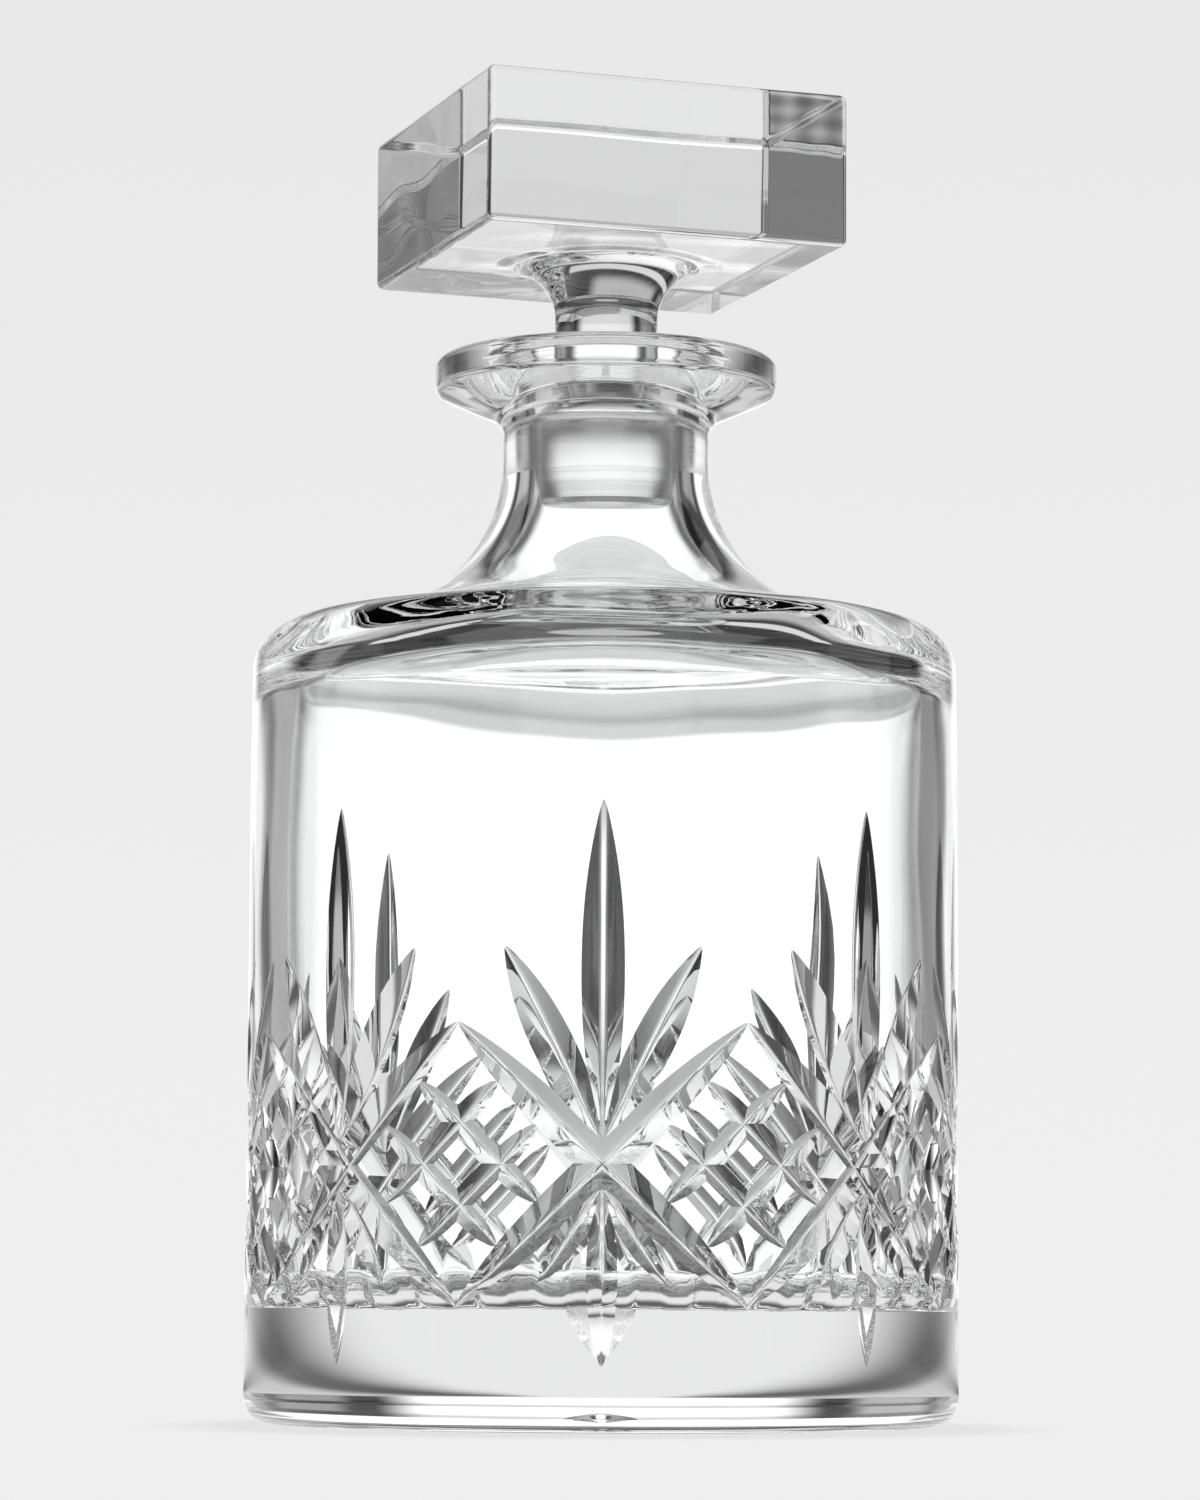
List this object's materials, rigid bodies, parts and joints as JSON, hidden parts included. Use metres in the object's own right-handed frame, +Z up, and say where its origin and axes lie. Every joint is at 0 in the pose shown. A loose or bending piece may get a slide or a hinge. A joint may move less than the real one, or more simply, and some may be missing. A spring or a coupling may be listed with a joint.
{
  "type": "decanter",
  "caption": "Round cut crystal decanter with a heavy base, a collared neck, fan and diamond mitre cuts, and a square block stopper ground to fit the mouth.",
  "frame": {"origin": "centre of the flat base, on the surface that the decanter stands on", "axes": "+Z up along the bottle's axis and along the stopper's lift; -Y through the middle of one fan of the cut pattern, which is the side that faces the viewer"},
  "size_m": [0.115, 0.115, 0.2144],
  "materials": {
    "bottle_crystal": "clear fire-polished crystal with acid-polished mitre cuts; the joint in the mouth is ground satin",
    "stopper_crystal": "clear pressed and polished crystal; the plug is ground satin"
  },
  "bodies": {
    "bottle": {"bottle": "bottle_crystal"},
    "stopper": {"stopper": "stopper_crystal"}
  },
  "joints": [
    {"name": "stopper_lift", "type": "slide", "parent": "bottle", "child": "stopper", "axis": [0, 0, 1], "range_m": [0, 0.045]}
  ]
}
